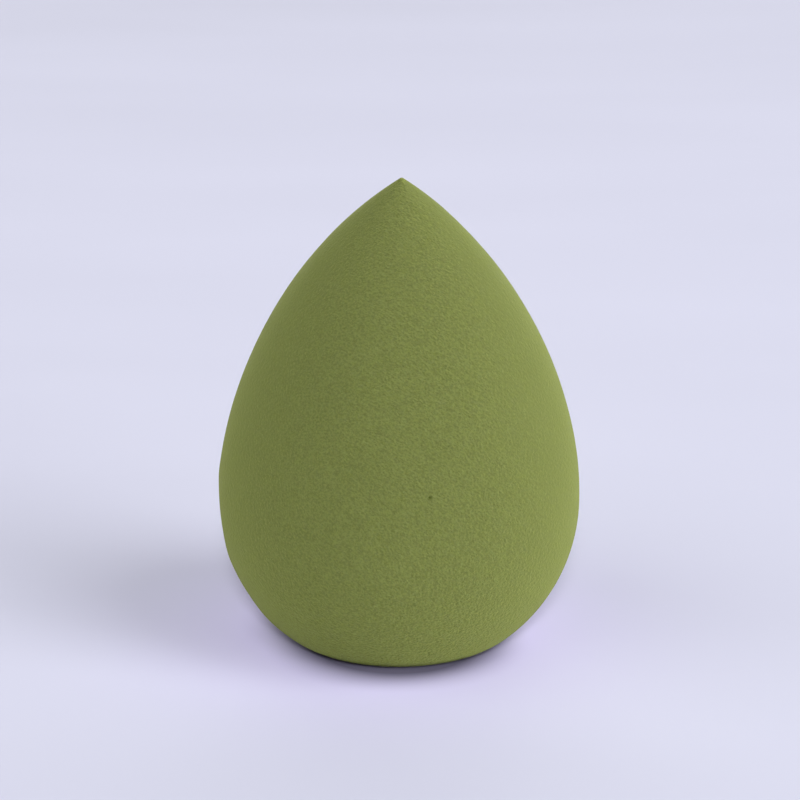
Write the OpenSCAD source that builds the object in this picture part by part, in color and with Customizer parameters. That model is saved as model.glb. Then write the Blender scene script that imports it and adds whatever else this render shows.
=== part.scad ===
// Teardrop sponge for blending make-up: one piece of soft foam that stands on a small flat foot.
// Half of its outline is turned about the axis. From the top, the half outline is a rounded point,
// a shoulder of two arcs, the belly, an underside of two arcs and the flat foot.
// Each arc starts in the direction in which the one before it ends, so no corner shows.

/* [Body] */
// Height from the foot to the point
height = 60; // [54:0.5:68]
// Widest diameter, at the belly
belly_d = 45.5; // [40:0.5:50]
// Height of the belly above the foot
belly_h = 19; // [16:0.1:24]

/* [Point] */
// Angle between the axis and the side just below the rounded point
point_angle = 55.4; // [48:0.2:62]
// Radius of the rounded point
point_r = 0.35; // [0.2:0.05:2]

/* [Foot] */
// Diameter of the flat foot
foot_d = 19.6; // [14:0.2:24]
// Angle at which the underside leaves the foot
heel_angle = 2; // [0:1:12]

/* [Curves] */
// Share of the shoulder's turn that lies above the place where its two arcs meet
shoulder_share = 0.84; // [0.4:0.01:0.9]
// Share of the underside's turn that lies above the place where its two arcs meet
underside_share = 0.77; // [0.5:0.01:0.85]

/* [Smoothness] */
// Steps along each arc of the outline
arc_steps = 18; // [8:1:24]
// Steps along the rounded point
point_steps = 4; // [3:1:6]
// Facets round the axis
round_facets = 160; // [72:4:200]

/* [Hidden] */
FOAM_COLOUR = "#7a834a";

// Places and directions on the half outline, as [distance from the axis, height]
point_centre = [0, height - point_r];
shoulder_start = point_centre + point_r * [cos(point_angle), sin(point_angle)];
belly = [belly_d / 2, belly_h];
heel = [foot_d / 2, 0];
shoulder_heading = heading(point_angle);
belly_heading = heading(0);
heel_heading = heading(heel_angle - 90);

// Unit direction that runs down the outline at this angle from the axis, outwards when positive.
function heading(angle) = [sin(angle), -cos(angle)];

// The vector v turned anticlockwise by this angle.
function turned(v, angle) =
    [v.x * cos(angle) - v.y * sin(angle), v.x * sin(angle) + v.y * cos(angle)];

// Length of the first of two tangent legs between p and q. The first leg leaves p along t, the
// second reaches q along u and is ratio times as long, and their free ends lie both lengths apart.
function leg(p, t, q, u, ratio) =
    let (
        span = q - p,
        square = 2 * ratio * (1 - t * u),
        linear = 2 * span * (t + ratio * u)
    )
    (sqrt(linear * linear + 4 * square * (span * span)) - linear) / (2 * square);

// Points of one arc that leaves p along the unit direction t and ends at q. p itself is left out.
function arc(p, t, q) =
    let (
        chord = q - p,
        left = turned(t, 90),
        radius = (chord * chord) / (2 * (chord * left)),
        centre = p + radius * left,
        sweep = 2 * atan2(chord * left, chord * t)
    )
    [for (i = [1:arc_steps]) centre + turned(p - centre, sweep * i / arc_steps)];

// Points of two arcs that leave p along t, meet with no corner and reach q along u. p is left out.
// The first arc takes this share of both tangent legs.
function two_arcs(p, t, q, u, share) =
    let (
        ratio = (1 - share) / share,
        first = leg(p, t, q, u, ratio),
        corner_a = p + first * t,
        corner_b = q - first * ratio * u,
        meet = corner_a + share * (corner_b - corner_a),
        across = (corner_b - corner_a) / norm(corner_b - corner_a)
    )
    [each arc(p, t, meet), each arc(meet, across, q)];

// The rounded point, from the axis down to where the shoulder starts.
function point_curve() =
    [
        for (i = [0:point_steps])
            let (angle = 90 - (90 - point_angle) * i / point_steps)
            point_centre + point_r * [cos(angle), sin(angle)]
    ];

// The closed half outline, from the axis at the top to the axis at the foot.
function half_outline() =
    [
        each point_curve(),
        each two_arcs(shoulder_start, shoulder_heading, belly, belly_heading, shoulder_share),
        each two_arcs(belly, belly_heading, heel, heel_heading, underside_share),
        [0, 0]
    ];

// The foam body, the one piece that the sponge is made of.
module sponge() {
    color(FOAM_COLOUR)
        rotate_extrude($fn = round_facets)
            polygon(half_outline());
}

sponge();
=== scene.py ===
"""Looks of a teardrop make-up sponge, one piece of soft foam that stands on its small flat foot.

Every length is in metres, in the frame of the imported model: +Z up and the middle of the foot at the
origin. The camera stands on the -Y side, with +X to its right. An azimuth is counted from the
camera's side towards +X, and an elevation from the floor upwards.
"""

import logging
import math
import random
from dataclasses import dataclass
from enum import Enum
from functools import cache

import bmesh
import bpy
from mathutils import Matrix, Vector, kdtree, noise


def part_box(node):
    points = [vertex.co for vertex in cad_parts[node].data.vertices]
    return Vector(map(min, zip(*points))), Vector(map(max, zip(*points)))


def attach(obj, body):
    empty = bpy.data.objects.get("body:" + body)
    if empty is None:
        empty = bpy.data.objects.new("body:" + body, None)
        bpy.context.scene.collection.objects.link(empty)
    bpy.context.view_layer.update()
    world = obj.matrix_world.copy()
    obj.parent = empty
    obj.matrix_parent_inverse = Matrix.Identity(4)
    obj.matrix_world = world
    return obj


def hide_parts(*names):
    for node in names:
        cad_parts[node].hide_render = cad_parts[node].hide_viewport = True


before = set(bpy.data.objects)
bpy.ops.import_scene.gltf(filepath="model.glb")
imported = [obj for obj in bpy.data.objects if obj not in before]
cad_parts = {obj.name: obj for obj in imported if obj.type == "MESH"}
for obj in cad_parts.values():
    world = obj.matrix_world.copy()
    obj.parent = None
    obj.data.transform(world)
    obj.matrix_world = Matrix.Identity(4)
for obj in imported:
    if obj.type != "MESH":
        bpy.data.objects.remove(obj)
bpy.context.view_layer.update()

MM = 0.001
NODE = "sponge"
SEED = 11
PORE_LAYER = "pore"
# The painted shades mix towards black.
BLACK = (0.0, 0.0, 0.0, 1.0)
log = logging.getLogger("sponge")

Colour = tuple[float, float, float]
Place = tuple[float, float, float]
Table = tuple[tuple[float, float], ...]
Socket = bpy.types.NodeSocket


def direction(azimuth: float, elevation: float) -> Vector:
    """Gives the unit direction from the origin.

    Args:
        azimuth: Degrees from the camera's side towards +X.
        elevation: Degrees above the floor.

    Returns:
        The direction as a unit vector.
    """
    around, up = math.radians(azimuth), math.radians(elevation)
    flat = math.cos(up)
    return Vector((math.sin(around) * flat, -math.cos(around) * flat, math.sin(up)))


def heading(angle: float) -> Vector:
    """Gives the direction that runs down the half outline at this angle from the axis, in radians."""
    return Vector((math.sin(angle), -math.cos(angle)))


def smooth(value: float) -> float:
    """Eases a value from 0 to 1, and holds it there outside."""
    held = min(max(value, 0.0), 1.0)
    return held * held * (3 - 2 * held)


def looked_up(table: Table, height: float) -> float:
    """Reads a table of heights and values, with a smooth change from each row to the next.

    Args:
        table: Rows of height and value, from low to high.
        height: Where to read.

    Returns:
        The value there.
    """
    for (low, start), (high, end) in zip(table, table[1:]):
        if height <= high:
            return start + (end - start) * smooth((height - low) / (high - low))
    return table[-1][1]


def new_piece(name: str, mesh: bmesh.types.BMesh) -> bpy.types.Object:
    """Makes an object at the origin out of a bmesh, and frees the bmesh.

    Args:
        name: The object's name.
        mesh: Its shape.

    Returns:
        The object.
    """
    data = bpy.data.meshes.new(name)
    mesh.to_mesh(data)
    mesh.free()
    piece = bpy.data.objects.new(name, data)
    bpy.context.scene.collection.objects.link(piece)
    return piece


def aimed(
    name: str, data: bpy.types.ID, target: Vector, towards: Vector, distance: float
) -> bpy.types.Object:
    """Makes an object out of a lamp or a camera, and turns it to a target.

    Args:
        name: The object's name.
        data: The lamp or the camera.
        target: What it faces.
        towards: Unit direction from the target to it.
        distance: How far from the target it stands.

    Returns:
        The object.
    """
    stand = bpy.data.objects.new(name, data)
    stand.location = target + towards * distance
    stand.rotation_euler = towards.to_track_quat("Z", "Y").to_euler()
    bpy.context.scene.collection.objects.link(stand)
    return stand


# Outline of the body


@dataclass(frozen=True)
class Arc:
    """One round stretch of the half outline, in the plane of distance from the axis and height."""

    centre: Vector
    spoke: Vector
    sweep: float

    @classmethod
    def leaving(cls, start: Vector, along: Vector, end: Vector) -> "Arc":
        """Finds the one arc that leaves a point along a direction and ends at another point.

        Args:
            start: Where the arc starts.
            along: Unit direction in which it starts.
            end: Where it ends.

        Returns:
            The arc.
        """
        chord = end - start
        left = Vector((-along.y, along.x))
        radius = chord.length_squared / (2 * chord.dot(left))
        sweep = 2 * math.atan2(chord.dot(left), chord.dot(along))
        centre = start + radius * left
        return cls(centre, start - centre, sweep)

    def at(self, share: float) -> Vector:
        """Gives the point at this share of the arc."""
        return self.centre + Matrix.Rotation(self.sweep * share, 2) @ self.spoke

    def points(self, spacing: float, least: int) -> list[Vector]:
        """Spaces points along the arc, without its start.

        Args:
            spacing: The widest gap between two points.
            least: The fewest points.

        Returns:
            The points in order.
        """
        length = abs(self.sweep) * self.spoke.length
        steps = max(least, math.ceil(length / spacing))
        return [self.at(step / steps) for step in range(1, steps + 1)]


@dataclass(frozen=True)
class HalfOutline:
    """The half outline that is turned about the axis, from the point down to the foot."""

    height: float
    belly_d: float
    belly_h: float = 19 * MM
    point_angle: float = math.radians(55.4)
    point_r: float = 0.35 * MM
    foot_d: float = 19.6 * MM
    heel_angle: float = math.radians(2)
    shoulder_share: float = 0.84
    underside_share: float = 0.77
    foot_rings: int = 8

    @classmethod
    def of_node(cls, node: str) -> "HalfOutline":
        """Takes the height and the width from the node's box in the frame."""
        low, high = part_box(node)
        return cls(height=high.z - low.z, belly_d=high.y - low.y)

    @staticmethod
    def two_arcs(start: Vector, along: Vector, end: Vector, arrival: Vector, share: float) -> list[Arc]:
        """Joins two points by two arcs that meet with no corner.

        Args:
            start: Where the first arc starts.
            along: Unit direction in which it starts.
            end: Where the second arc ends.
            arrival: Unit direction in which it ends.
            share: Share of both tangent legs that the first arc takes.

        Returns:
            The two arcs.
        """
        ratio = (1 - share) / share
        span = end - start
        square = 2 * ratio * (1 - along.dot(arrival))
        linear = 2 * span.dot(along + ratio * arrival)
        root = math.sqrt(linear * linear + 4 * square * span.length_squared)
        leg = (root - linear) / (2 * square)
        corner_a = start + leg * along
        corner_b = end - leg * ratio * arrival
        meet = corner_a + share * (corner_b - corner_a)
        across = (corner_b - corner_a).normalized()
        return [Arc.leaving(start, along, meet), Arc.leaving(meet, across, end)]

    def arcs(self) -> list[Arc]:
        """Gives the arcs of the outline in order, from the point to the foot's edge.

        Returns:
            The arcs.
        """
        side = heading(self.point_angle)
        top = Vector((0, self.height))
        point_centre = Vector((0, self.height - self.point_r))
        turn = Vector((math.cos(self.point_angle), math.sin(self.point_angle)))
        shoulder = point_centre + self.point_r * turn
        belly = Vector((self.belly_d / 2, self.belly_h))
        heel = Vector((self.foot_d / 2, 0))
        under = heading(self.heel_angle - math.pi / 2)
        return [
            Arc.leaving(top, heading(math.pi / 2), shoulder),
            *self.two_arcs(shoulder, side, belly, heading(0), self.shoulder_share),
            *self.two_arcs(belly, heading(0), heel, under, self.underside_share),
        ]

    @cache
    def points(self, spacing: float) -> list[Vector]:
        """Spaces points along the whole outline, from the axis at the top to the axis at the foot.

        Args:
            spacing: The widest gap between two points on an arc.

        Returns:
            The points, as distance from the axis and height.
        """
        least = 6
        line = [Vector((0, self.height))]
        for arc in self.arcs():
            line += arc.points(spacing, least)
        heel = line[-1]
        line += [heel * (1 - ring / self.foot_rings) for ring in range(1, self.foot_rings + 1)]
        line[0].x = line[-1].x = 0
        return line

    def on_surface(self, azimuth: float, height: float) -> Vector:
        """Finds a place on the side of the body.

        Args:
            azimuth: Degrees from the camera's side towards +X.
            height: Height above the floor.

        Returns:
            The place in the frame.
        """
        fine = 0.1 * MM
        # Where points lie equally near in height, as on the foot, the outermost is taken.
        nearest = min(self.points(fine), key=lambda point: abs(point.y - height) - point.x * MM)
        around = direction(azimuth, 0) * nearest.x
        return Vector((around.x, around.y, nearest.y))


# Relief of the foam's skin


class Mark(Enum):
    """What one spot on the foam's skin is."""

    PORE = "pore"
    HOLLOW = "hollow"
    RISE = "rise"


@dataclass(frozen=True)
class SkinMark:
    """One spot on the skin, by its azimuth in degrees, its height, its radius and its depth."""

    kind: Mark
    azimuth: float
    height: float
    radius: float
    depth: float

    @property
    def reach(self) -> float:
        """How far from its middle the mark changes the skin."""
        radii = 3
        return self.radius * radii

    def rise_at(self, distance: float) -> float:
        """Tells how far the mark lifts the skin.

        Args:
            distance: Distance from the mark's middle.

        Returns:
            The lift along the normal, less than zero where the skin sinks in.
        """
        share = distance / self.radius
        bell = math.exp(-share * share)
        if self.kind is Mark.RISE:
            return self.depth * bell
        if self.kind is Mark.HOLLOW:
            return -self.depth * bell
        lip_place, lip_width, lip_share = 1.5, 0.45, 0.12
        lip = math.exp(-(((share - lip_place) / lip_width) ** 2))
        return self.depth * (lip_share * lip - self.inside_at(distance))

    def inside_at(self, distance: float) -> float:
        """Tells how far inside a pore a place is.

        Args:
            distance: Distance from the mark's middle.

        Returns:
            From 1 in the middle of a pore to 0 outside it, and 0 for any other mark.
        """
        steepness = 4
        share = distance / self.radius
        return math.exp(-(share**steepness)) if self.kind is Mark.PORE else 0.0


@dataclass(frozen=True)
class Scatter:
    """How marks of one kind are spread over the skin that the photo doesn't show.

    The azimuths are in degrees, the heights are shares of the body's height, and the depth is a
    share of the radius.
    """

    kind: Mark
    azimuths: tuple[float, float]
    heights: tuple[float, float]
    radii: tuple[float, float]
    depth_share: float

    def drawn(self, rng: random.Random, body_height: float) -> SkinMark:
        """Draws one mark.

        Args:
            rng: Where the random numbers come from.
            body_height: The body's height.

        Returns:
            The mark.
        """
        azimuth = rng.uniform(*self.azimuths)
        height = rng.uniform(*self.heights) * body_height
        radius = rng.uniform(*self.radii)
        return SkinMark(self.kind, azimuth, height, radius, radius * self.depth_share)


@dataclass(frozen=True)
class Swell:
    """A soft unevenness of the skin, as moulded foam has: the size of its cells and its height."""

    cell: float
    height: float
    shift: Place

    def at(self, place: Vector) -> float:
        """Gives the lift along the normal at this place."""
        return self.height * noise.noise(place / self.cell + Vector(self.shift))


@dataclass(frozen=True)
class Crease:
    """A faint fold that runs across the skin.

    Its places are azimuths in degrees and heights, and it fades out towards both ends.
    """

    places: Table = (
        (-90, 8 * MM),
        (-61, 11.3 * MM),
        (-35, 11.3 * MM),
        (-17.6, 14 * MM),
        (-2.5, 17.1 * MM),
    )
    half_width: float = 1.3 * MM
    height: float = 0.045 * MM
    fade: float = 3 * MM

    def line(self, outline: HalfOutline) -> list[Vector]:
        """Gives the places of the fold's line on the body."""
        return [outline.on_surface(azimuth, height) for azimuth, height in self.places]

    def rise_at(self, place: Vector, line: list[Vector]) -> float:
        """Tells how far the fold lifts the skin.

        Args:
            place: A place on the skin.
            line: The places that the fold runs through.

        Returns:
            The lift along the normal.
        """
        nearest = math.inf
        for start, end in zip(line, line[1:]):
            span = end - start
            share = min(max((place - start).dot(span) / span.length_squared, 0), 1)
            nearest = min(nearest, (place - start - span * share).length)
        from_end = min((place - line[0]).length, (place - line[-1]).length)
        bell = math.exp(-((nearest / self.half_width) ** 2))
        return self.height * bell * smooth(from_end / self.fade)


# Nodes


class NodeBoard:
    """Places shader nodes in a tree and joins them."""

    step = 190

    def __init__(self, tree: bpy.types.NodeTree) -> None:
        """Takes the tree that the nodes go into."""
        self.tree = tree
        self.count = 0

    def add(self, kind: str, inputs: dict | None = None, **settings: object) -> bpy.types.Node:
        """Adds one node.

        Args:
            kind: The node's type.
            inputs: A value or an output socket for each input, by its name or number.
            settings: The node's own settings.

        Returns:
            The node.
        """
        node = self.tree.nodes.new(kind)
        node.location = (self.count * self.step, 0)
        self.count += 1
        for name, value in settings.items():
            setattr(node, name, value)
        for name, value in (inputs or {}).items():
            self.feed(node.inputs[name], value)
        return node

    def feed(self, socket: Socket, value: object) -> None:
        """Gives an input a value, or joins it to an output.

        Args:
            socket: The input.
            value: The value, or the output socket.
        """
        if isinstance(value, Socket):
            self.tree.links.new(value, socket)
        else:
            socket.default_value = value

    def maths(self, operation: str, *values: object) -> Socket:
        """Adds a Math node with these values or sockets, and gives its output."""
        node = self.add("ShaderNodeMath", dict(enumerate(values)), operation=operation)
        return node.outputs[0]

    def ramp(self, value: Socket, span: tuple, ends: tuple[float, float] = (0.0, 1.0)) -> Socket:
        """Eases from one level to another while a value runs over a span.

        Args:
            value: The value that is read.
            span: Where the ramp starts and ends, as values or sockets.
            ends: The levels before the start and beyond the end.

        Returns:
            The level.
        """
        names = ("Value", "From Min", "From Max", "To Min", "To Max")
        inputs = dict(zip(names, (value, *span, *ends)))
        node = self.add("ShaderNodeMapRange", inputs, interpolation_type="SMOOTHSTEP")
        return node.outputs[0]

    def mix(self, factor: object, low: object, high: object) -> Socket:
        """Mixes two colours.

        Args:
            factor: Share of the second colour.
            low: The first colour, or a socket.
            high: The second colour, or a socket.

        Returns:
            The mixed colour.
        """
        inputs = {"Factor": factor, "A": low, "B": high}
        node = self.add("ShaderNodeMix", data_type="RGBA")
        for name, value in inputs.items():
            kind = "VALUE" if name == "Factor" else "RGBA"
            self.feed(next(s for s in node.inputs if s.name == name and s.type == kind), value)
        return next(s for s in node.outputs if s.type == "RGBA")

    def group(self, tree: bpy.types.NodeTree, inputs: dict) -> bpy.types.Node:
        """Adds a group with its own values.

        Args:
            tree: The group.
            inputs: A value or an output socket for each input, by its name.

        Returns:
            The group's node.
        """
        return self.add("ShaderNodeGroup", inputs, node_tree=tree)

    def seen(self) -> Socket:
        """Picks out the rays that see: the camera's, and those off gloss or through glass.

        Returns:
            1 for those rays, and 0 for all others.
        """
        rays = self.add("ShaderNodeLightPath").outputs
        turned = self.maths("MAXIMUM", rays["Is Glossy Ray"], rays["Is Transmission Ray"])
        return self.maths("MAXIMUM", rays["Is Camera Ray"], turned)


class Effect:
    """A node group with named inputs and outputs, built once and used in several materials."""

    name = "effect"
    inputs: tuple[tuple[str, str], ...] = ()
    outputs: tuple[tuple[str, str], ...] = ()

    @classmethod
    def tree(cls) -> bpy.types.NodeTree:
        """Gives the group, and builds it when it is asked for the first time.

        Returns:
            The group's tree.
        """
        found = bpy.data.node_groups.get(cls.name)
        if found:
            return found
        tree = bpy.data.node_groups.new(cls.name, "ShaderNodeTree")
        for side, sockets in (("INPUT", cls.inputs), ("OUTPUT", cls.outputs)):
            for name, kind in sockets:
                tree.interface.new_socket(name, in_out=side, socket_type=f"NodeSocket{kind}")
        board = NodeBoard(tree)
        source = board.add("NodeGroupInput")
        results = cls.wire(board, source)
        board.add("NodeGroupOutput", results)
        return tree

    @classmethod
    def wire(cls, board: NodeBoard, source: bpy.types.Node) -> dict:
        """Joins the nodes inside the group.

        Args:
            board: Where the nodes go.
            source: The group's inputs.

        Returns:
            A socket for each output, by its name.
        """
        raise NotImplementedError


class Drift(Effect):
    """A broad, soft change from place to place, from 0 to 1 and mostly near the middle."""

    name = "drift"
    inputs = (("Place", "Vector"), ("Cells per metre", "Float"), ("Stretch", "Vector"))
    outputs = (("Level", "Float"),)

    @classmethod
    def wire(cls, board: NodeBoard, source: bpy.types.Node) -> dict:
        """Joins a stretched noise.

        Args:
            board: Where the nodes go.
            source: The group's inputs.

        Returns:
            The noise's socket, as the level.
        """
        detail, roughness = 2.0, 0.45
        stretched = board.add(
            "ShaderNodeVectorMath",
            {0: source.outputs["Place"], 1: source.outputs["Stretch"]},
            operation="MULTIPLY",
        )
        cloud = board.add(
            "ShaderNodeTexNoise",
            {
                "Vector": stretched.outputs[0],
                "Scale": source.outputs["Cells per metre"],
                "Detail": detail,
                "Roughness": roughness,
            },
        )
        return {"Level": cloud.outputs["Fac"]}


class FoamGrain(Effect):
    """The fine grain of moulded foam, whose cells lean and are longer than they are wide."""

    name = "foam grain"
    inputs = (
        ("Place", "Vector"),
        ("Cells per metre", "Float"),
        ("Lean", "Float"),
        ("Width share", "Float"),
    )
    outputs = (("Height", "Float"), ("Hollow", "Float"))

    @classmethod
    def wire(cls, board: NodeBoard, source: bpy.types.Node) -> dict:
        """Turns the place by the lean, then reads noise and fine cells there.

        Args:
            board: Where the nodes go.
            source: The group's inputs.

        Returns:
            The sockets of the height and of the hollows in it.
        """
        detail, roughness = 2.0, 0.57
        fine_share, cell_depth = 1.7, 0.35
        shallow, deep = 0.82, 0.50
        turned = board.add(
            "ShaderNodeVectorRotate",
            {"Vector": source.outputs["Place"], "Angle": source.outputs["Lean"]},
            rotation_type="Y_AXIS",
        )
        length = board.add("ShaderNodeCombineXYZ", {"X": source.outputs["Width share"], "Y": 1.0, "Z": 1.0})
        drawn = board.add(
            "ShaderNodeVectorMath", {0: turned.outputs[0], 1: length.outputs[0]}, operation="MULTIPLY"
        )
        grain = board.add(
            "ShaderNodeTexNoise",
            {
                "Vector": drawn.outputs[0],
                "Scale": source.outputs["Cells per metre"],
                "Detail": detail,
                "Roughness": roughness,
            },
        )
        fine = board.maths("MULTIPLY", source.outputs["Cells per metre"], fine_share)
        cells = board.add("ShaderNodeTexVoronoi", {"Vector": drawn.outputs[0], "Scale": fine}, feature="F1")
        walls = board.maths("MULTIPLY", cells.outputs["Distance"], cell_depth)
        height = board.maths("ADD", grain.outputs["Fac"], walls)
        return {"Height": height, "Hollow": board.ramp(height, (shallow, deep))}


class Specks(Effect):
    """Tiny specks that lie far apart, as a mask."""

    name = "specks"
    inputs = (("Place", "Vector"), ("Cells per metre", "Float"), ("Size share", "Float"))
    outputs = (("Mask", "Float"),)

    @classmethod
    def wire(cls, board: NodeBoard, source: bpy.types.Node) -> dict:
        """Keeps the middle of each wide cell.

        Args:
            board: Where the nodes go.
            source: The group's inputs.

        Returns:
            The mask's socket.
        """
        cells = board.add(
            "ShaderNodeTexVoronoi",
            {"Vector": source.outputs["Place"], "Scale": source.outputs["Cells per metre"]},
            feature="F1",
        )
        return {"Mask": board.ramp(cells.outputs["Distance"], (source.outputs["Size share"], 0.0))}


class Nearness(Effect):
    """How near a place is to a middle: 1 within the rim, and down to 0 at the end of the reach."""

    name = "nearness"
    inputs = (
        ("Place", "Vector"),
        ("Middle", "Vector"),
        ("Rim", "Float"),
        ("Reach", "Float"),
        ("Power", "Float"),
    )
    outputs = (("Share", "Float"),)

    @classmethod
    def wire(cls, board: NodeBoard, source: bpy.types.Node) -> dict:
        """Lets the share fall off over the reach, the faster at first the higher the power.

        Args:
            board: Where the nodes go.
            source: The group's inputs.

        Returns:
            The share's socket.
        """
        distance = board.add(
            "ShaderNodeVectorMath",
            {0: source.outputs["Place"], 1: source.outputs["Middle"]},
            operation="DISTANCE",
        )
        beyond = board.maths("SUBTRACT", distance.outputs["Value"], source.outputs["Rim"])
        left = board.add(
            "ShaderNodeMapRange",
            {"Value": beyond, "From Max": source.outputs["Reach"], "To Min": 1.0, "To Max": 0.0},
        )
        return {"Share": board.maths("POWER", left.outputs[0], source.outputs["Power"])}


def new_material(name: str) -> tuple[bpy.types.Material, NodeBoard]:
    """Makes a material with an empty tree.

    Args:
        name: The material's name.

    Returns:
        The material, and the board for its nodes.
    """
    material = bpy.data.materials.new(name)
    material.use_nodes = True
    material.node_tree.nodes.clear()
    return material, NodeBoard(material.node_tree)


# Finishes


@dataclass(frozen=True)
class Zone:
    """A round zone with its own colour or shade, which fades out over its reach beyond its rim."""

    middle: Place
    reach: float
    rim: float = 0.0
    power: float = 1.0
    amount: float = 1.0

    def share(self, board: NodeBoard, place: Socket) -> Socket:
        """Adds the nodes that tell how much of the zone's colour a place has.

        Args:
            board: Where the nodes go.
            place: The place on the surface.

        Returns:
            The share, up to the zone's amount.
        """
        near = board.group(
            Nearness.tree(),
            {
                "Place": place,
                "Middle": self.middle,
                "Rim": self.rim,
                "Reach": self.reach,
                "Power": self.power,
            },
        )
        return board.maths("MULTIPLY", near.outputs["Share"], self.amount)


@dataclass(frozen=True)
class FoamFinish:
    """Matt olive foam with a fine leaning grain, faint mottling and a few light specks, with painted shade
    in the grain's pits and inside the pores and a painted contact shade at the foot.

    The grain is clear in front and behind, and faint at the two edges that the front shows. Its
    angles are azimuths, counted both ways from the grain's middle.
    """

    dark: Colour = (0.1243, 0.1451, 0.0420)
    light: Colour = (0.1347, 0.1565, 0.0455)
    speck: Colour = (0.33, 0.36, 0.16)
    mottle_cell: float = 11 * MM
    grain_cell: float = 0.42 * MM
    grain_height: float = 0.47 * MM
    # The grain's pits get painted shade, as strong as pit_shade says.
    pit_cell: float = 0.24 * MM
    pit_shade: float = 0.28
    grain_middle: float = math.radians(-1)
    grain_front_fade: tuple[float, float] = (math.radians(20), math.radians(70))
    grain_back_rise: tuple[float, float] = (math.radians(80), math.radians(135))
    grain_faint: float = 0.3
    grain_lean: float = math.radians(-35)
    grain_width_share: float = 0.7
    # Painted shade inside the pores: the dark colour that their insides are mixed towards, and how far.
    pore: Colour = (0.05, 0.07, 0.008)
    pore_shade: float = 0.8
    speck_cell: float = 7 * MM
    speck_size_share: float = 0.018
    roughness: float = 0.93
    roughness_change: float = 0.05
    diffuse_roughness: float = 1.0
    specular: float = 0.1
    sheen: float = 0.12
    sheen_roughness: float = 0.4
    sheen_tint: Colour = (0.62, 0.70, 0.18)
    inner_light: float = 0.4
    inner_reach: float = 4 * MM
    inner_spread: Colour = (1.0, 1.0, 0.35)
    # Painted contact shade: the foam near the foot's middle is darkened towards black where it meets the
    # floor.
    foot: Zone = Zone(middle=(0.0, 0.0, 0.0), rim=13 * MM, reach=2.2 * MM, amount=0.9)

    def grain(self, board: NodeBoard, place: Socket, cell: float) -> bpy.types.Node:
        """Adds the leaning grain.

        Args:
            board: Where the nodes go.
            place: The place on the foam.
            cell: The cells' size.

        Returns:
            The grain's node.
        """
        inputs = {
            "Place": place,
            "Cells per metre": 1 / cell,
            "Lean": self.grain_lean,
            "Width share": self.grain_width_share,
        }
        return board.group(FoamGrain.tree(), inputs)

    def clearness(self, board: NodeBoard, place: Socket) -> Socket:
        """Adds the nodes that tell how clearly the grain shows at a place, up to 1.

        Args:
            board: Where the nodes go.
            place: The place on the foam.

        Returns:
            The clearness.
        """
        parts = board.add("ShaderNodeSeparateXYZ", {0: place}).outputs
        azimuth = board.maths("ARCTAN2", parts["X"], board.maths("MULTIPLY", parts["Y"], -1.0))
        aside = board.maths("ABSOLUTE", board.maths("SUBTRACT", azimuth, self.grain_middle))
        front = board.ramp(aside, self.grain_front_fade, (1.0, self.grain_faint))
        back = board.ramp(aside, self.grain_back_rise, (self.grain_faint, 1.0))
        return board.maths("MAXIMUM", front, back)

    def shaded_skin(self, board: NodeBoard, place: Socket, clearness: Socket) -> Socket:
        """Adds the mottled skin, with painted shade inside the pits of the grain and a little lighter
        between them.

        Args:
            board: Where the nodes go.
            place: The place on the foam.
            clearness: How clearly the grain shows there.

        Returns:
            The colour.
        """
        mean_hollow = 0.5
        mottle = board.group(
            Drift.tree(),
            {"Place": place, "Cells per metre": 1 / self.mottle_cell, "Stretch": (1.0, 1.0, 1.0)},
        )
        skin = board.mix(mottle.outputs["Level"], (*self.dark, 1), (*self.light, 1))
        # Painted shade in the grain's pits, balanced by a little lightening between them.
        pits = self.grain(board, place, self.pit_cell)
        depth = board.maths("SUBTRACT", pits.outputs["Hollow"], mean_hollow)
        full_shade = board.maths("MULTIPLY", depth, self.pit_shade)
        shade = board.maths("MULTIPLY", full_shade, clearness)
        left = board.maths("SUBTRACT", 1.0, shade)
        shaded = board.add("ShaderNodeVectorMath", {0: skin, "Scale": left}, operation="SCALE")
        return shaded.outputs[0]

    def colour(self, board: NodeBoard, place: Socket, clearness: Socket) -> Socket:
        """Adds the specks, the painted shade inside the pores and the painted contact shade at the foot to
        the skin's colour.

        Args:
            board: Where the nodes go.
            place: The place on the foam.
            clearness: How clearly the grain shows there.

        Returns:
            The colour.
        """
        skin = self.shaded_skin(board, place, clearness)
        specks = board.group(
            Specks.tree(),
            {"Place": place, "Cells per metre": 1 / self.speck_cell, "Size share": self.speck_size_share},
        )
        speckled = board.mix(specks.outputs["Mask"], skin, (*self.speck, 1))
        # Painted shade inside the pores, by how far inside a pore each place lies.
        inside = board.add("ShaderNodeAttribute", attribute_name=PORE_LAYER)
        pore_shadow_share = board.maths("MULTIPLY", inside.outputs["Fac"], self.pore_shade)
        pore_shadowed = board.mix(pore_shadow_share, speckled, (*self.pore, 1))
        # Painted contact shade: the foam is darkened towards black near the foot.
        return board.mix(self.foot.share(board, place), pore_shadowed, BLACK)

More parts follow.
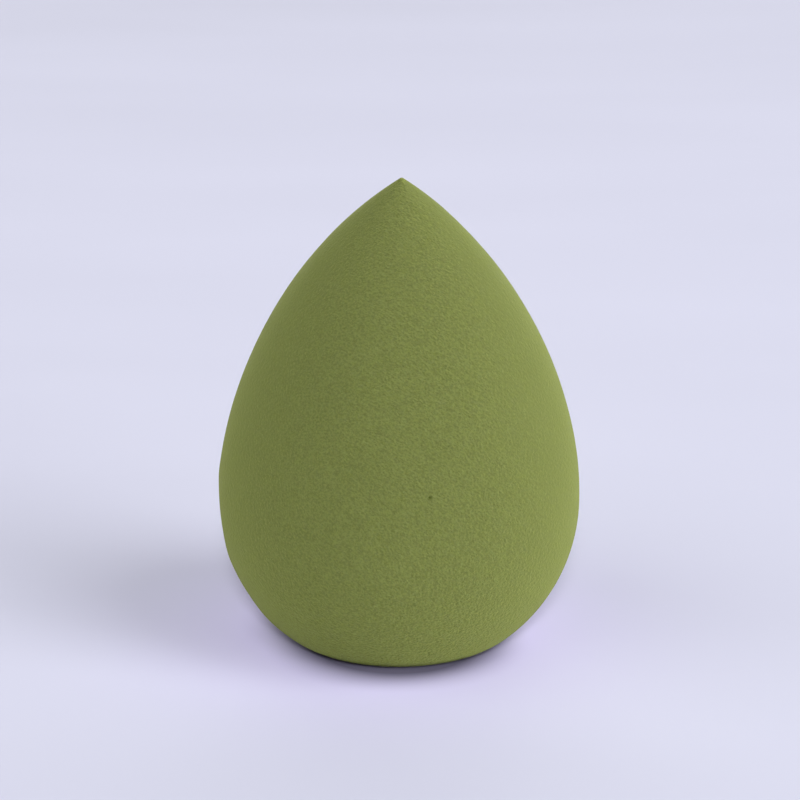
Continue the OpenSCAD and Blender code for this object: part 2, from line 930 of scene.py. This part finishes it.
    def material(self) -> bpy.types.Material:
        """Builds the foam's material.

        Returns:
            The material.
        """
        material, board = new_material("olive foam")
        place = board.add("ShaderNodeTexCoord").outputs["Object"]
        clearness = self.clearness(board, place)
        grain = self.grain(board, place, self.grain_cell)
        change = board.maths("MULTIPLY", grain.outputs["Hollow"], self.roughness_change)
        roughness = board.maths("ADD", change, self.roughness)
        height = board.maths("MULTIPLY", grain.outputs["Height"], clearness)
        bump = board.add(
            "ShaderNodeBump", {"Height": height, "Strength": 1.0, "Distance": self.grain_height}
        )
        shader = board.add(
            "ShaderNodeBsdfPrincipled",
            {
                "Base Color": self.colour(board, place, clearness),
                "Roughness": roughness,
                "Normal": bump.outputs[0],
                "Diffuse Roughness": self.diffuse_roughness,
                "Specular IOR Level": self.specular,
                "Subsurface Weight": self.inner_light,
                "Subsurface Scale": self.inner_reach,
                "Subsurface Radius": self.inner_spread,
                "Sheen Weight": self.sheen,
                "Sheen Roughness": self.sheen_roughness,
                "Sheen Tint": (*self.sheen_tint, 1),
            },
        )
        board.add("ShaderNodeOutputMaterial", {"Surface": shader.outputs[0]})
        return material


@dataclass(frozen=True)
class FloorFinish:
    """Pale lavender paper with a painted violet shadow tint near the foot, a painted contact shade round it
    and painted dimming in a few zones.

    Between near and far, both in metres from the foot, it turns into the plain background. The painted tint
    and shades show only to the camera and to rays off gloss or through glass; other light gets the paper's
    bounce colour.
    """

    pale: Colour = (0.690, 0.696, 0.842)
    dull: Colour = (0.634, 0.640, 0.774)
    # Painted violet tint of the shadow round the foot.
    violet: Colour = (0.715, 0.665, 0.985)
    painted_shadow_tint_zone: Zone = Zone(middle=(-1 * MM, 2 * MM, 0.0), rim=18 * MM, reach=76 * MM, power=6.0)
    # Painted contact shade round the foot, in a front part and a part towards the back left.
    contact_shade_zones: tuple[Zone, ...] = (
        Zone(middle=(-0.4 * MM, -2.9 * MM, 0.0), rim=10.4 * MM, reach=6.9 * MM, power=1.85, amount=0.74),
        Zone(middle=(-5.9 * MM, 3.8 * MM, 0.0), rim=9.1 * MM, reach=6.3 * MM, power=2.0, amount=0.70),
    )
    # Painted shade that dims the two front corners a little.
    corner_shade_zones: tuple[Zone, ...] = (
        Zone(middle=(55 * MM, -55 * MM, 0.0), rim=20 * MM, reach=50 * MM, amount=0.025),
        Zone(middle=(-55 * MM, -55 * MM, 0.0), rim=20 * MM, reach=50 * MM, amount=0.025),
    )
    # Painted shade that dims the floor far away, where the lamps light it brighter.
    far_shade_zones: tuple[Zone, ...] = (
        Zone(middle=(0.0, 620 * MM, 0.0), reach=350 * MM, amount=0.08),
        Zone(middle=(0.0, -700 * MM, 0.0), reach=600 * MM, amount=0.13),
        Zone(middle=(600 * MM, -400 * MM, 0.0), reach=550 * MM, amount=0.13),
        Zone(middle=(-600 * MM, -400 * MM, 0.0), reach=550 * MM, amount=0.1),
    )
    bounce: Colour = (0.80, 0.80, 0.74)
    background: Colour = (0.700, 0.710, 0.840)
    drift_cell: float = 90 * MM
    drift_stretch: Place = (0.6, 1.6, 1.0)
    near: float = 1.0
    far: float = 2.2
    roughness: float = 0.85
    specular: float = 0.1

    def material(self) -> bpy.types.Material:
        """Builds the floor's material.

        Returns:
            The material.
        """
        material, board = new_material("lavender paper")
        place = board.add("ShaderNodeTexCoord").outputs["Object"]
        drift = board.group(
            Drift.tree(),
            {"Place": place, "Cells per metre": 1 / self.drift_cell, "Stretch": self.drift_stretch},
        )
        colour = board.mix(drift.outputs["Level"], (*self.dull, 1), (*self.pale, 1))
        # Painted violet shadow tint near the foot.
        shaded = board.mix(self.painted_shadow_tint_zone.share(board, place), colour, (*self.violet, 1))
        # Painted contact shade and painted dimming, each mixed towards black.
        for zone in (*self.contact_shade_zones, *self.corner_shade_zones, *self.far_shade_zones):
            shaded = board.mix(zone.share(board, place), shaded, BLACK)
        seen = board.seen()
        seen_colour = board.mix(seen, (*self.bounce, 1), shaded)
        paper = board.add(
            "ShaderNodeBsdfPrincipled",
            {
                "Base Color": seen_colour,
                "Roughness": self.roughness,
                "Specular IOR Level": self.specular,
            },
        )
        plain = board.add("ShaderNodeEmission", {"Color": (*self.background, 1)})
        distance = board.add("ShaderNodeVectorMath", {0: place}, operation="LENGTH")
        blend = board.ramp(distance.outputs["Value"], (self.near, self.far))
        share = board.maths("MULTIPLY", blend, seen)
        surface = board.add("ShaderNodeMixShader", {0: share, 1: paper.outputs[0], 2: plain.outputs[0]})
        board.add("ShaderNodeOutputMaterial", {"Surface": surface.outputs[0]})
        return material


# The object


@dataclass
class FoamBody:
    """The sponge's foam body, with the soft unevenness and the few marks of a moulded skin.

    By height, mid_line tells how far the body leans towards +X, and girth how far it bulges out.
    """

    outline: HalfOutline
    finish: FoamFinish
    spacing: float = 0.36 * MM
    wedges: int = 12
    wedge_steps: int = 33
    pore_cuts: int = 3
    foot_fade: float = 3 * MM
    mid_line: Table = (
        (0.0, -0.125 * MM),
        (20 * MM, -0.095 * MM),
        (42 * MM, 0.035 * MM),
        (52 * MM, 0.07 * MM),
        (60 * MM, 0.2 * MM),
    )
    girth: Table = (
        (0.0, 0.0),
        (5 * MM, 0.06 * MM),
        (22 * MM, 0.05 * MM),
        (43 * MM, -0.04 * MM),
        (50 * MM, 0.0),
        (57 * MM, 0.07 * MM),
        (60 * MM, 0.04 * MM),
    )
    hidden_rounds: int = 9
    hidden_marks: tuple[Scatter, ...] = (
        Scatter(Mark.PORE, (115, 245), (0.12, 0.9), (0.13 * MM, 0.22 * MM), 1.0),
        Scatter(Mark.HOLLOW, (80, 280), (0.12, 0.8), (0.6 * MM, 1.5 * MM), 0.04),
    )
    crease: Crease = Crease()
    swells: tuple[Swell, ...] = (
        Swell(15 * MM, 0.03 * MM, (3.1, 0.4, 7.7)),
        Swell(4.5 * MM, 0.012 * MM, (11.2, 5.9, 1.3)),
        Swell(1.4 * MM, 0.005 * MM, (0.6, 9.1, 4.2)),
    )
    marks: tuple[SkinMark, ...] = (
        SkinMark(Mark.PORE, 9.4, 25.9 * MM, 0.23 * MM, 0.24 * MM),
        SkinMark(Mark.HOLLOW, -36.3, 51.3 * MM, 0.35 * MM, 0.06 * MM),
        SkinMark(Mark.HOLLOW, -21.4, 48.4 * MM, 0.4 * MM, 0.06 * MM),
        SkinMark(Mark.HOLLOW, -21.4, 26.1 * MM, 1.6 * MM, 0.05 * MM),
        SkinMark(Mark.HOLLOW, -11.3, 41.5 * MM, 0.7 * MM, 0.03 * MM),
        SkinMark(Mark.HOLLOW, 39.3, 30.6 * MM, 0.7 * MM, 0.03 * MM),
        SkinMark(Mark.HOLLOW, -38.8, 20.4 * MM, 0.8 * MM, 0.03 * MM),
        SkinMark(Mark.HOLLOW, 53.1, 17 * MM, 0.8 * MM, 0.04 * MM),
        SkinMark(Mark.RISE, 61.3, 20.7 * MM, 1.0 * MM, 0.04 * MM),
        SkinMark(Mark.RISE, -91, 22 * MM, 1.9 * MM, 0.1 * MM),
        SkinMark(Mark.HOLLOW, -88, 16.2 * MM, 2.5 * MM, 0.17 * MM),
        SkinMark(Mark.RISE, -84, 11.3 * MM, 2.3 * MM, 0.14 * MM),
        SkinMark(Mark.RISE, -74, 4.0 * MM, 3.4 * MM, 0.14 * MM),
    )

    def all_marks(self) -> list[SkinMark]:
        """Gives the marks that show from the front, and like ones round the rest of the body.

        Returns:
            The marks.
        """
        rng = random.Random(SEED)
        marks = list(self.marks)
        for _ in range(self.hidden_rounds):
            marks += [scatter.drawn(rng, self.outline.height) for scatter in self.hidden_marks]
        return marks

    def spun(self) -> bmesh.types.BMesh:
        """Spins the half outline into one wedge, then repeats the wedge round the axis.

        Returns:
            The closed body.
        """
        weld = 0.001 * MM
        mesh = bmesh.new()
        verts = [mesh.verts.new((point.x, 0, point.y)) for point in self.outline.points(self.spacing)]
        edges = [mesh.edges.new(pair) for pair in zip(verts, verts[1:])]
        about = {"cent": (0, 0, 0), "axis": (0, 0, 1)}
        wedge = math.tau / self.wedges
        bmesh.ops.spin(mesh, geom=verts + edges, angle=wedge, steps=self.wedge_steps, **about)
        whole = [*mesh.verts, *mesh.edges, *mesh.faces]
        rest = self.wedges - 1
        bmesh.ops.spin(mesh, geom=whole, angle=wedge * rest, steps=rest, use_duplicate=True, **about)
        bmesh.ops.remove_doubles(mesh, verts=mesh.verts, dist=weld)
        bmesh.ops.recalc_face_normals(mesh, faces=mesh.faces)
        mesh.verts.index_update()
        mesh.edges.index_update()
        return mesh

    @staticmethod
    def finder(verts: list[bmesh.types.BMVert]) -> kdtree.KDTree:
        """Makes a tree that finds vertices near a place by their number in the list.

        Args:
            verts: The vertices.

        Returns:
            The tree.
        """
        tree = kdtree.KDTree(len(verts))
        for number, vert in enumerate(verts):
            tree.insert(vert.co, number)
        tree.balance()
        return tree

    def refine(self, mesh: bmesh.types.BMesh, marks: list[SkinMark]) -> None:
        """Makes the mesh finer round each pore, which is smaller than the even grid shows.

        Args:
            mesh: The spun body.
            marks: The marks of the skin.
        """
        verts = list(mesh.verts)
        tree = self.finder(verts)
        edges = {}
        for mark in marks:
            if mark.kind is not Mark.PORE:
                continue
            middle = self.outline.on_surface(mark.azimuth, mark.height)
            near = {number for _, number, _ in tree.find_range(middle, mark.reach + self.spacing)}
            for number in sorted(near):
                for edge in verts[number].link_edges:
                    if edge.other_vert(verts[number]).index in near:
                        edges[edge.index] = edge
        fine = {"cuts": self.pore_cuts, "use_grid_fill": True}
        bmesh.ops.subdivide_edges(mesh, edges=list(edges.values()), **fine)
        mesh.normal_update()

    def shape(self, mesh: bmesh.types.BMesh, marks: list[SkinMark]) -> None:
        """Moves the skin in and out along its normals, and leans the body as the real one leans.

        Args:
            mesh: The spun body.
            marks: The marks of the skin.
        """
        verts = list(mesh.verts)
        tree = self.finder(verts)
        line = self.crease.line(self.outline)
        lifts = []
        for vert in verts:
            fade = smooth(vert.co.z / self.foot_fade)
            swell = sum(layer.at(vert.co) for layer in self.swells)
            lifts.append(fade * (swell + self.crease.rise_at(vert.co, line)))
        inside = mesh.verts.layers.float.new(PORE_LAYER)
        # The new layer makes the old list of vertices stale.
        verts = list(mesh.verts)
        for mark in marks:
            middle = self.outline.on_surface(mark.azimuth, mark.height)
            for _, number, distance in tree.find_range(middle, mark.reach):
                lifts[number] += mark.rise_at(distance)
                verts[number][inside] = max(verts[number][inside], mark.inside_at(distance))
        for vert, lift in zip(verts, lifts):
            height = vert.co.z
            vert.co += vert.normal * (lift + looked_up(self.girth, height))
            vert.co.x += looked_up(self.mid_line, height)
            vert.co.z = max(vert.co.z, 0)

    def build(self) -> bpy.types.Object:
        """Builds the body as one object at the origin.

        Returns:
            The body.
        """
        mesh = self.spun()
        marks = self.all_marks()
        self.refine(mesh, marks)
        self.shape(mesh, marks)
        for face in mesh.faces:
            face.smooth = True
        return new_piece("foam_body", mesh)

    def dress(self, body: bpy.types.Object) -> None:
        """Gives the body its finish, and says which solid it stands for.

        Args:
            body: The body that was built.
        """
        body.data.materials.append(self.finish.material())
        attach(body, "root")
        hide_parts(NODE)


# Studio


@dataclass
class Floor:
    """The pale floor that the sponge stands on."""

    finish: FloorFinish
    reach: float = 6.0
    cells: int = 24

    def build(self) -> bpy.types.Object:
        """Builds the floor as a flat grid.

        Returns:
            The floor.
        """
        mesh = bmesh.new()
        bmesh.ops.create_grid(mesh, x_segments=self.cells, y_segments=self.cells, size=self.reach)
        floor = new_piece("floor", mesh)
        floor.data.materials.append(self.finish.material())
        return floor


@dataclass(frozen=True)
class StudioLamp:
    """A soft lamp that faces the sponge, as wide and as high as its two half angles in degrees say.

    Its level is the share of full light that it gives a surface at the sponge that faces it.
    """

    name: str
    azimuth: float
    elevation: float
    level: float
    half_width: float = 12.0
    half_height: float = 12.0
    distance: float = 3.0

    def build(self, target: Vector) -> bpy.types.Object:
        """Builds the lamp.

        Args:
            target: What it faces.

        Returns:
            The lamp.
        """
        data = bpy.data.lights.new(self.name, "AREA")
        data.shape = "ELLIPSE"
        data.size = 2 * self.distance * math.tan(math.radians(self.half_width))
        data.size_y = 2 * self.distance * math.tan(math.radians(self.half_height))
        data.energy = math.pi**2 * self.distance**2 * self.level
        lamp = aimed(self.name, data, target, direction(self.azimuth, self.elevation), self.distance)
        lamp.visible_camera = False
        return lamp


@dataclass(frozen=True)
class StudioDome:
    """The light of the pale walls all round, which falls off towards the ceiling."""

    background: Colour
    tint: Colour = (1.0, 1.0, 1.0)
    wall_level: float = 0.338
    ceiling_level: float = 0.0

    def build(self) -> bpy.types.World:
        """Builds the world, with a plain background for the camera.

        Returns:
            The world.
        """
        world = bpy.data.worlds.new("studio dome")
        world.use_nodes = True
        world.node_tree.nodes.clear()
        board = NodeBoard(world.node_tree)
        ray = board.add("ShaderNodeTexCoord").outputs["Generated"]
        height = board.add("ShaderNodeSeparateXYZ", {0: ray}).outputs["Z"]
        level = board.add(
            "ShaderNodeMapRange",
            {"Value": height, "To Min": self.wall_level, "To Max": self.ceiling_level},
        )
        light = board.add(
            "ShaderNodeBackground", {"Color": (*self.tint, 1), "Strength": level.outputs[0]}
        )
        plain = board.add("ShaderNodeBackground", {"Color": (*self.background, 1), "Strength": 1.0})
        seen = board.seen()
        surface = board.add("ShaderNodeMixShader", {0: seen, 1: light.outputs[0], 2: plain.outputs[0]})
        board.add("ShaderNodeOutputWorld", {"Surface": surface.outputs[0]})
        bpy.context.scene.world = world
        return world


@dataclass(frozen=True)
class StudioCamera:
    """The camera, which looks slightly down at the sponge from close by.

    Its field is the width that the picture shows at the place it looks at, and its sensor is in
    millimetres.
    """

    elevation: float = 17.0
    distance: float = 392.7 * MM
    field: float = 100.42 * MM
    look: Place = (0.0, 0.0, 31.5 * MM)
    sensor: float = 36.0

    def build(self) -> bpy.types.Object:
        """Builds the camera and makes it the scene's camera.

        Returns:
            The camera.
        """
        data = bpy.data.cameras.new("camera")
        data.sensor_width = self.sensor
        data.lens = self.sensor * self.distance / self.field
        camera = aimed("camera", data, Vector(self.look), direction(0, self.elevation), self.distance)
        bpy.context.scene.camera = camera
        return camera


LAMPS = (
    StudioLamp("front lamp", azimuth=0, elevation=27, level=0.639, half_width=4, half_height=4),
    StudioLamp("low right lamp", azimuth=66, elevation=12, level=0.502, half_width=14, half_height=4),
    StudioLamp("low near right lamp", azimuth=50, elevation=12, level=0.333, half_width=14, half_height=4),
    StudioLamp("high right lamp", azimuth=60, elevation=50, level=0.287, half_width=14),
    StudioLamp("wide left lamp", azimuth=-60, elevation=40, level=0.360, half_width=35, half_height=25),
    StudioLamp("back lamp", azimuth=-175, elevation=9, level=0.484, half_width=22, half_height=6),
    StudioLamp("back right lamp", azimuth=155, elevation=14, level=0.161, half_width=22, half_height=6),
)


def main() -> None:
    """Builds the sponge, its finish and the studio round it."""
    logging.basicConfig(level=logging.INFO, format="%(name)s: %(message)s")
    bpy.context.scene.view_settings.view_transform = "Standard"
    StudioCamera().build()
    outline = HalfOutline.of_node(NODE)
    sponge = FoamBody(outline, FoamFinish())
    body = sponge.build()
    sponge.dress(body)
    log.info("%s: %d vertices", body.name, len(body.data.vertices))
    floor_finish = FloorFinish()
    floor = Floor(floor_finish).build()
    log.info("%s: %.1f m wide", floor.name, 2 * Floor.reach)
    StudioDome(floor_finish.background).build()
    target = Vector((0, 0, outline.height / 2))
    for lamp in LAMPS:
        log.info("%s: level %.2f", lamp.build(target).name, lamp.level)


if __name__ == "__main__":
    main()
